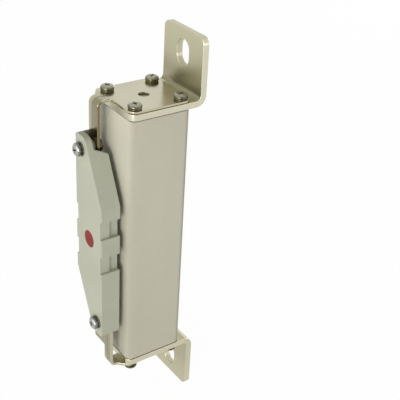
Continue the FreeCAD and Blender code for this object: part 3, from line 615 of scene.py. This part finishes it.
def soften(form, width, angle, steps):
    """Rounds every edge that turns by more than the angle."""
    sharp = [edge for edge in form.edges if len(edge.link_faces) == 2
             and edge.calc_face_angle(0) > math.radians(angle)]
    bmesh.ops.bevel(form, geom=sharp, offset=width, offset_type="OFFSET", segments=steps, profile=0.5,
                    affect="EDGES", clamp_overlap=True)


def block(x0, x1, y0, y1, z0, z1):
    """A plain box between two corners."""
    form = bmesh.new()
    bmesh.ops.create_cube(form, size=1)
    for point in form.verts:
        point.co.x = x1 if point.co.x > 0 else x0
        point.co.y = y1 if point.co.y > 0 else y0
        point.co.z = z1 if point.co.z > 0 else z0
    return form


def copied(group, form, matrix):
    """Adds the form to the group at a new place."""
    moved = form.copy()
    bmesh.ops.transform(moved, matrix=matrix, verts=moved.verts)
    mesh = bpy.data.meshes.new("copy")
    moved.to_mesh(mesh)
    moved.free()
    group.from_mesh(mesh)
    bpy.data.meshes.remove(mesh)


def screw_plating(name, dark, light, painted_top_and_recess, roughest):
    """Zinc with patches of tarnish, a painted highlight on top of the head and painted shade, black, in
    its recess.
    """
    finish = Finish(name, 1.0, 0.2)
    layer = finish.marked("painted_top_and_recess")
    tone = finish.mottled(finish.clouds(260), 0.35, 0.7, dark, light)
    # painted highlight on top of the head, then painted shade in the recess
    tone = finish.blend(finish.spread(layer, 0, 1), tone, painted_top_and_recess)
    finish.colour(finish.blend(finish.spread(layer, 0, -1), tone, RECESS_PAINTED_SHADE))
    finish.roughness(finish.spread(finish.clouds(500, 3), 0.3, 0.7, 0.14, roughest))
    finish.relief(finish.clouds(1200, 2, 0.5), 0.02, 0.5)
    return finish


def pan_head(long):
    """Screw standing on its own axis, the seat under the head at z = 0."""
    radius, top = HEAD / 2, HEAD_HIGH
    outline = [(0, -long), (SHANK / 2 - POINT_IN, -long), (SHANK / 2, POINT_LONG - long), (SHANK / 2, 0),
               (radius - HEAD_FOOT, 0), (radius, HEAD_FOOT)]
    outline += [(radius * wide, top * high) for wide, high in DOME] + [(0, top)]
    cutters = []
    for wide, deep in ((CROSS, CROSS_WIDE), (CROSS_WIDE, CROSS)):
        arm = block(-wide / 2, wide / 2, -deep / 2, deep / 2, top - CROSS_DEEP, top + PAST)
        for point in arm.verts:
            if point.co.z < top:
                point.co.x *= CROSS_TAPER if wide == CROSS else ARM_TAPER
                point.co.y *= CROSS_TAPER if deep == CROSS else ARM_TAPER
        cutters.append(arm)
    screw = less(lathe(outline), cutters)
    soften(screw, HEAD_EDGE, 40, 2)
    painted_top_and_recess = screw.verts.layers.float.new("painted_top_and_recess")
    for point in screw.verts:
        narrow, wide = sorted((abs(point.co.x), abs(point.co.y)))
        # the recess is painted black, painted shade; the head lighter towards its top, a painted
        # highlight
        in_cross = narrow < CROSS_WIDE / 2 + CROSS_SLACK and wide < CROSS / 2 + CROSS_SLACK
        if in_cross and CROSS_FLOOR < point.co.z < top - CROSS_RIM:
            point[painted_top_and_recess] = -1.0
        else:
            share = (point.co.z - SHEEN_FROM * top) / (SHEEN_OVER * top)
            point[painted_top_and_recess] = max(0.0, min(1.0, share))
    return screw


def split_washer(outer, bore, thick, edge, gap, count=44):
    """Spring washer: a flat ring cut through, its two ends a narrow gap apart."""
    form = bmesh.new()
    section = [(bore / 2, 0), (outer / 2 - edge, 0), (outer / 2, edge), (outer / 2, thick - edge),
               (outer / 2 - edge, thick), (bore / 2, thick)]
    rings = []
    for i in range(count + 1):
        turn = gap / 2 + (2 * math.pi - gap) * i / count
        rings.append([form.verts.new((reach * math.cos(turn), reach * math.sin(turn), high))
                      for reach, high in section])
    for low, high in zip(rings, rings[1:]):
        for i in range(len(section)):
            j = (i + 1) % len(section)
            form.faces.new((low[i], low[j], high[j], high[i]))
    form.faces.new(rings[0])
    form.faces.new(rings[-1])
    bmesh.ops.recalc_face_normals(form, faces=form.faces)
    return form


def spun(degrees):
    """A turn of the screw or washer on its own axis."""
    return Matrix.Rotation(math.radians(degrees), 4, "Z")


def lifted(height):
    """A step up along the screw's axis."""
    return Matrix.Translation((0, 0, height))


# two copies of one zinc: the darker is painted shade, the lighter painted light
zinc = screw_plating("zinc_painted_darker", ZINC_DARK, ZINC_LIGHT, ZINC_PAINTED_SHEEN, 0.34)
zinc_lighter_copy = screw_plating("zinc_painted_lighter", LIGHTER_COPY_DARK, LIGHTER_COPY_LIGHT, LIGHTER_COPY_SHEEN, 0.32)

# each end screw was left at a turn of its own
screw_turns = {(-1, -1): 12, (-1, 1): 40, (1, -1): -8, (1, 1): 25}
screws, washers = bmesh.new(), bmesh.new()
spring = split_washer(WASHER, WASHER_BORE, WASHER_THICK, WASHER_EDGE, WASHER_GAP)
for way in (1, -1):
    facing = Matrix.Rotation(0 if way > 0 else math.pi, 4, "X")
    for (across, deep), turn in screw_turns.items():
        # the cover is under every upper screw, the lower bracket's foot under one lower screw
        on_sheet = way > 0 or (across > 0 and deep < 0)
        level = COVER_LOW + (SHEET if on_sheet else 0)
        seat = Matrix.Translation((across * SCREW_PITCH / 2, BODY_LINE + deep * SCREW_PITCH / 2,
                                   way * level))
        copied(washers, spring, seat @ facing @ spun(turn + 100))
        screw = pan_head(END_REACH + level - COVER_LOW + WASHER_THICK)
        copied(screws, screw, seat @ facing @ lifted(WASHER_THICK) @ spun(turn))
        screw.free()
finished(screws, "pan_heads", zinc, ["end_screws"], flat_weight=False)
finished(washers, "spring_rings", zinc, ["end_washers"])

# the indicator's two screws lie along Y, their heads to the front
screws, springs, flats = bmesh.new(), bmesh.new(), bmesh.new()
lying = Matrix.Rotation(math.pi / 2, 4, "X")
flat_ring = lathe([(WASHER_BORE / 2, 0), (FLAT_WIDE / 2 - FLAT_EDGE, 0), (FLAT_WIDE / 2, FLAT_EDGE),
                   (FLAT_WIDE / 2, FLAT_THICK - FLAT_EDGE), (FLAT_WIDE / 2 - FLAT_EDGE, FLAT_THICK),
                   (WASHER_BORE / 2, FLAT_THICK), (WASHER_BORE / 2, 0)])
bmesh.ops.remove_doubles(flat_ring, verts=flat_ring.verts, dist=1e-5)
screw = pan_head(-SHEET_FRONT + SHEET + FIX_REACH - HOUSE_FRONT + FLAT_THICK + WASHER_THICK)
for way, turn in ((1, 20), (-1, -12)):
    seat = Matrix.Translation((-way * FIX_ACROSS, HOUSE_FRONT, HOUSE_MID + way * FIX_HIGH)) @ lying
    copied(flats, flat_ring, seat)
    copied(springs, spring, seat @ lifted(FLAT_THICK) @ spun(turn))
    copied(screws, screw, seat @ lifted(FLAT_THICK + WASHER_THICK) @ spun(turn))
for part in (flat_ring, spring, screw):
    part.free()
finished(screws, "indicator_pan_heads", zinc_lighter_copy, ["indicator_screws"], flat_weight=False)
finished(springs, "indicator_spring_rings", zinc, ["indicator_spring_washers"])
finished(flats, "indicator_flat_rings", zinc_lighter_copy, ["indicator_flat_washers"])


# Indicator housing. A light grey moulding, the same turned half round: slanted ends, an ear at each
# end for its screw, and recesses down both sides that a clip-on switch grips. Its back is open.
HOUSE_DEEP, HOUSE_HALF, HOUSE_HIGH, HOUSE_EDGE = 14.3, 17.2, 74.9, 0.45
SLANT_FROM, SLANT_RUN, SLANT_CORNER = 30.5, 21.76, 1.0
TIP_CORNER, EAR_RADIUS, EAR_DEEP = 2.5, 7.0, 4.5
FRONT_WALL, SIDE_WALL, LEDGE_HIGH, LEDGE_LOW = 2.5, 1.6, 67.0, 62.2
# the cut that makes a ledge ends this far over and beside the shell, well clear of it
LEDGE_OVER, LEDGE_BESIDE = 5.0, 7.8
# measured straight across the slant, a wall is thicker by this much
SLANT_SHARE = 1.114
BUTTON, BUTTON_CLEAR, GUIDE, GUIDE_OUT, GUIDE_END, BOSS_END = 12.5, 0.05, 15.4, 18.6, 10.5, 8.0
# the clip recesses: their ends from the middle, their depths in front and behind, and where the
# deeper part starts
CLIP_IN, CLIP_OUT, CLIP, CLIP_BACK, CLIP_FRONT = 7.2, 20.7, 2.0, 3.4, 7.4
# bosses and guide are rooted this deep in the front wall
ROOT = 0.5
GREY_DARK, GREY_LIGHT = (0.318, 0.325, 0.256), (0.348, 0.355, 0.281)


def prism(outline, low, high):
    """A straight block on an outline; x, y of the outline are across and up, the depth is z."""
    form = bmesh.new()
    ends = [[form.verts.new((spot[0], spot[1], z)) for spot in outline] for z in (low, high)]
    form.faces.new(ends[0])
    form.faces.new(ends[1])
    for i in range(len(outline)):
        j = (i + 1) % len(outline)
        form.faces.new((ends[0][i], ends[0][j], ends[1][j], ends[1][i]))
    bmesh.ops.recalc_face_normals(form, faces=form.faces)
    return form


def rod(x, y, radius, low, high, count=40):
    """A round bar along the depth."""
    turns = [2 * math.pi * i / count for i in range(count)]
    outline = [(x + radius * math.cos(turn), y + radius * math.sin(turn)) for turn in turns]
    return prism(outline, low, high)


def ledge_cutter(way):
    """Cuts away what lies behind one ear, all but the outer side wall, down to a sloping ledge."""
    form = bmesh.new()
    above, behind, beside = HOUSE_HIGH + LEDGE_OVER, HOUSE_DEEP + PAST, HOUSE_HALF + LEDGE_BESIDE
    profile = [(LEDGE_HIGH, EAR_DEEP), (above, EAR_DEEP), (above, behind), (LEDGE_LOW, behind)]
    ends = [[form.verts.new((way * x, way * y, z)) for y, z in profile]
            for x in (SIDE_WALL - HOUSE_HALF, beside)]
    for end in ends:
        form.faces.new(end)
    for i in range(len(profile)):
        form.faces.new((ends[0][i], ends[0][i - 1], ends[1][i - 1], ends[1][i]))
    return form


def clip_cutters(way):
    """Cut the two clip recesses of one side, each in a shallow and a deep step."""
    blocks = []
    for low, high in ((CLIP_IN, CLIP_OUT), (-CLIP_OUT, -CLIP_IN)):
        for deep, start in ((CLIP, -PAST), (CLIP_BACK, CLIP_FRONT)):
            inner, outer = sorted((way * (HOUSE_HALF - deep), way * (HOUSE_HALF + PAST)))
            blocks.append(block(inner, outer, low, high, start, HOUSE_DEEP + PAST))
    return blocks


def both_halves(one_half):
    """An outline's one half and the same turned half round."""
    return one_half + [(-spot[0], -spot[1], *spot[2:]) for spot in one_half]


moulded = Finish("grey_moulding", 0.0, 0.5)
grain = moulded.clouds(1500, 3)
shade = moulded.clouds(25, 3, 0.5)
moulded.colour(moulded.mottled(shade, 0.3, 0.7, GREY_DARK, GREY_LIGHT))
moulded.roughness(moulded.spread(grain, 0.3, 0.7, 0.42, 0.58))
moulded.relief(grain, 0.03, 0.5)

tip = SLANT_RUN - HOUSE_HALF
outline = both_halves([(HOUSE_HALF, -HOUSE_HIGH, TIP_CORNER), (HOUSE_HALF, SLANT_FROM, SLANT_CORNER),
                       (-tip, HOUSE_HIGH, EAR_RADIUS)])
shell = prism(rounded(outline, 10), 0, HOUSE_DEEP)

inner_half, inner_top = HOUSE_HALF - SIDE_WALL, HOUSE_HIGH - SIDE_WALL
cheek, cheek_high = HOUSE_HALF - CLIP_BACK - SIDE_WALL, CLIP_OUT + SIDE_WALL
slant_inner = HOUSE_HALF - SIDE_WALL * SLANT_SHARE
inner_run = (inner_top - SLANT_FROM) * (SLANT_RUN / (HOUSE_HIGH - SLANT_FROM))
hollow = both_halves([(inner_half, -inner_top), (inner_half, -cheek_high), (cheek, -cheek_high),
                      (cheek, cheek_high), (slant_inner, cheek_high), (slant_inner, SLANT_FROM),
                      (slant_inner - inner_run, inner_top)])
cutters = [prism(hollow, FRONT_WALL, HOUSE_DEEP + PAST)]
for way in (1, -1):
    cutters += [ledge_cutter(way)] + clip_cutters(way)
shell = less(shell, cutters)

ears = [(-FIX_ACROSS, FIX_HIGH), (FIX_ACROSS, -FIX_HIGH)]
bosses = [rod(x, y, BOSS / 2, FRONT_WALL - ROOT, BOSS_END) for x, y in ears]
bosses.append(rod(0, 0, GUIDE_OUT / 2, FRONT_WALL - ROOT, GUIDE_END, 64))
shell = combined(shell, bosses, "UNION")
bores = [rod(x, y, SCREW_CLEAR / 2, -PAST, BOSS_END + PAST) for x, y in ears]
bores.append(rod(0, 0, BUTTON / 2 + BUTTON_CLEAR, -PAST, FRONT_WALL + PAST, 64))
bores.append(rod(0, 0, GUIDE / 2, FRONT_WALL, GUIDE_END + PAST, 64))
shell = less(shell, bores)
bmesh.ops.dissolve_limit(shell, angle_limit=math.radians(0.5), verts=shell.verts, edges=shell.edges)
soften(shell, HOUSE_EDGE, 35, 3)
# up in the outline becomes Z, and the depth runs back from the housing's front
in_place = Matrix(((1, 0, 0, 0), (0, 0, 1, HOUSE_FRONT), (0, 1, 0, HOUSE_MID), (0, 0, 0, 1)))
bmesh.ops.transform(shell, matrix=in_place, verts=shell.verts)
bmesh.ops.recalc_face_normals(shell, faces=shell.faces)
finished(shell, "indicator_shell", moulded, ["indicator_housing"])


# Trip button. A red moulded cup, flush with the housing while the fuse is sound. When the trip
# wires melt, the spring in the cup pushes it out 6 mm, where its flange stops at the front wall.
TRAVEL, FLANGE_RADIUS, FLANGE_THICK = 6.0, 7.4, 1.5
CUP_WALL, CUP_FLOOR, TAIL_RADIUS = 1.0, 1.5, 1.5
# the flange stands this far off the wall when the button is out, so that the two share no face
STAND_OFF = 0.04
RED_DARK, RED_LIGHT = (0.140, 0.006, 0.003), (0.185, 0.010, 0.006)

red = Finish("red_moulding", 0.0, 0.38)
speckle = red.clouds(900, 3)
red.colour(red.mottled(red.clouds(90, 3, 0.5), 0.3, 0.7, RED_DARK, RED_LIGHT))
red.roughness(red.spread(speckle, 0.3, 0.7, 0.30, 0.46))
red.relief(speckle, 0.02, 0.5)
red.shader.inputs["Specular IOR Level"].default_value = 0.15

radius, inner = BUTTON / 2, BUTTON / 2 - CUP_WALL
cup_end = FLANGE_THICK + TRAVEL + FRONT_WALL
flange_face = cup_end - FLANGE_THICK + STAND_OFF
# a slightly hollow face with a rounded rim, the wall, the flange, the inside, and the tail
cup = lathe([(0, 0.12), (radius * 0.55, 0.08), (radius - 0.55, 0), (radius - 0.2, 0.06),
             (radius - 0.06, 0.2), (radius, 0.5), (radius, flange_face), (FLANGE_RADIUS, flange_face),
             (FLANGE_RADIUS, cup_end), (inner, cup_end), (inner, CUP_FLOOR), (TAIL_RADIUS, CUP_FLOOR),
             (TAIL_RADIUS, HOUSE_DEEP), (0, HOUSE_DEEP)], 64)
bmesh.ops.transform(cup, matrix=in_place, verts=cup.verts)
bmesh.ops.recalc_face_normals(cup, faces=cup.faces)
finished(cup, "trip_button", red, ["indicator_button"], body="button")


# What the housing and the body hold. These keep the solids' own shapes: the back plate, nuts, tags,
# trip wires and spring of the indicator, and the seals, strips, sand and plug of the fuse itself.
def plain_finish(name, metal, dark, light, rough, scale=300, depth_mm=0.03):
    """A simple finish for parts mostly hidden: two tones, uneven gloss, fine relief."""
    finish = Finish(name, metal, rough)
    mottle = finish.clouds(scale)
    finish.colour(finish.mottled(mottle, 0.3, 0.7, dark, light))
    finish.roughness(finish.spread(mottle, 0.3, 0.7, rough - 0.08, rough + 0.08))
    finish.relief(finish.clouds(scale * 4, 3), depth_mm, 0.5)
    return finish


def dressed(finish, *names):
    """Gives the solids of these nodes the finish."""
    for name in names:
        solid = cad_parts[name]
        if not solid.material_slots:
            solid.data.materials.append(finish.material)
        for slot in solid.material_slots:
            slot.link = "OBJECT"
            slot.material = finish.material


back_moulding = plain_finish("back_plate_moulding", 0.0, (0.40, 0.40, 0.36), (0.47, 0.47, 0.42), 0.55)
gasket = plain_finish("pale_gasket", 0.0, (0.42, 0.40, 0.34), (0.52, 0.50, 0.43), 0.8)
copper = plain_finish("bare_copper", 1.0, (0.62, 0.33, 0.22), (0.75, 0.43, 0.30), 0.32)
silver = plain_finish("silver_strip", 1.0, (0.78, 0.78, 0.75), (0.90, 0.90, 0.87), 0.24)
sand = plain_finish("quartz_sand", 0.0, (0.45, 0.41, 0.32), (0.68, 0.64, 0.54), 0.9, 2500, 0.2)
lead = plain_finish("lead_plug", 1.0, (0.40, 0.39, 0.30), (0.52, 0.51, 0.41), 0.5)
# the tags sit in a shaded gap and are painted dark brown for it: painted shade
brass_painted_dark = plain_finish("brass_tag_painted_shade", 1.0, (0.13, 0.10, 0.05), (0.22, 0.17, 0.09), 0.4)
wire = plain_finish("drawn_wire", 1.0, (0.42, 0.42, 0.41), (0.58, 0.58, 0.56), 0.28)

dressed(zinc, "indicator_nuts")
dressed(back_moulding, "indicator_back_plate")
dressed(gasket, "end_seals")
dressed(copper, "upper_contact_plate", "lower_contact_plate")
dressed(silver, "fuse_strip_1", "fuse_strip_2", "fuse_strip_3", "fuse_strip_4")
dressed(sand, "quartz_sand_fill")
dressed(lead, "filling_plug")
dressed(brass_painted_dark, "wire_tags")
dressed(wire, "button_spring", "trip_wires")


# Setting for the picture: a plain white floor that keeps a soft shadow, a soft lamp from the right
# front, a wide one from the front and two faint ones from the rear, an even surround for the metal
# to reflect, and the camera of the photograph.
FLOOR_HALF, FLOOR_GAP = 4, 0.0005
PAPER, PAPER_ROUGH = (0.9, 0.9, 0.88, 1), 0.9
AIR, AIR_STRENGTH = (1.0, 0.99, 0.92, 1), 0.52
WHITE = (1, 1, 1, 1)
# so much of the floor is plain white to the eye; the rest shows the shadow
WHITE_SHARE = 0.97
BODY_MIDDLE, ABOVE_MIDDLE = (0, -0.035, 0), (0, -0.035, 0.03)
# the photograph's viewing angle; the focal length is in pixels of its width
AZIMUTH, ELEVATION, ROLL = math.radians(53.10), math.radians(29.68), math.radians(3.51)
FOCAL, PHOTO_WIDE, SENSOR = 877.02, 400, 36.0
EYE = (0.4532, -0.3231, 0.3312)


def seen(tree):
    """1 where the eye, a reflection or a clear piece sees the surface, 0 where it only gives light."""
    path = tree.nodes.new("ShaderNodeLightPath")
    total = path.outputs["Is Camera Ray"]
    for ray in ("Is Glossy Ray", "Is Transmission Ray"):
        total = worked_out(tree, "MAXIMUM", total, path.outputs[ray])
    return total


def mixed(tree, amount, lighting, showing, end):
    """Gives light by the one shader and is seen by the amount as the other."""
    both = tree.nodes.new("ShaderNodeMixShader")
    tree.links.new(amount, both.inputs["Fac"])
    tree.links.new(lighting.outputs[0], both.inputs[1])
    tree.links.new(showing.outputs[0], both.inputs[2])
    tree.links.new(both.outputs[0], tree.nodes[end].inputs["Surface"])


def soft_lamp(name, place, aim, wide, power):
    """A square lamp that faces its aim; sizes in metres, power in watts."""
    lamp = bpy.data.lights.new(name, "AREA")
    lamp.shape = "SQUARE"
    lamp.size = wide
    lamp.energy = power
    holder = bpy.data.objects.new(name, lamp)
    holder.location = place
    holder.rotation_euler = (Vector(aim) - Vector(place)).to_track_quat("-Z", "Y").to_euler()
    bpy.context.scene.collection.objects.link(holder)


scene = bpy.context.scene
floor_mesh = bpy.data.meshes.new("floor")
floor_mesh.from_pydata([(-FLOOR_HALF, -FLOOR_HALF, 0), (FLOOR_HALF, -FLOOR_HALF, 0),
                        (FLOOR_HALF, FLOOR_HALF, 0), (-FLOOR_HALF, FLOOR_HALF, 0)], [], [(0, 1, 2, 3)])
floor = bpy.data.objects.new("floor", floor_mesh)
floor.location = (0, 0, solid_box[0][2] - FLOOR_GAP)
scene.collection.objects.link(floor)
paper = bpy.data.materials.new("white_floor")
paper.use_nodes = True
tree = paper.node_tree
matt = tree.nodes["Principled BSDF"]
matt.inputs["Base Color"].default_value = PAPER
matt.inputs["Roughness"].default_value = PAPER_ROUGH
glow = tree.nodes.new("ShaderNodeEmission")
glow.inputs["Color"].default_value = WHITE
shown = worked_out(tree, "MULTIPLY", seen(tree), WHITE_SHARE)
mixed(tree, shown, matt, glow, "Material Output")
floor_mesh.materials.append(paper)

world = bpy.data.worlds.new("surround")
scene.world = world
world.use_nodes = True
tree = world.node_tree
air = tree.nodes["Background"]
air.inputs["Color"].default_value = AIR
air.inputs["Strength"].default_value = AIR_STRENGTH
white = tree.nodes.new("ShaderNodeBackground")
white.inputs["Color"].default_value = WHITE
white.inputs["Strength"].default_value = 1.0
mixed(tree, seen(tree), air, white, "World Output")

soft_lamp("key", (0.905, -1.195, 0.07), BODY_MIDDLE, wide=0.6, power=15.0)
soft_lamp("front", (0.16, -1.30, 0.30), ABOVE_MIDDLE, wide=1.5, power=9.6)
soft_lamp("right_back", (1.15, 0.85, 0.05), BODY_MIDDLE, wide=0.8, power=1.6)
soft_lamp("back", (-0.45, 1.35, 0.12), BODY_MIDDLE, wide=0.9, power=6.0)

# the camera looks along its own -Z, so back is the way from the fuse to the eye
flat_reach = math.cos(ELEVATION)
back = Vector((math.sin(AZIMUTH) * flat_reach, -math.cos(AZIMUTH) * flat_reach, math.sin(ELEVATION)))
level = Vector((math.cos(AZIMUTH), math.sin(AZIMUTH), 0))
upright = back.cross(level)
right = level * math.cos(ROLL) + upright * math.sin(ROLL)
up = upright * math.cos(ROLL) - level * math.sin(ROLL)
lens = bpy.data.cameras.new("camera")
lens.sensor_width = SENSOR
lens.lens = FOCAL / PHOTO_WIDE * SENSOR
camera = bpy.data.objects.new("camera", lens)
stand = Matrix((right, up, back)).transposed().to_4x4()
stand.translation = EYE
camera.matrix_world = stand
scene.collection.objects.link(camera)
scene.camera = camera
scene.view_settings.view_transform = "Standard"
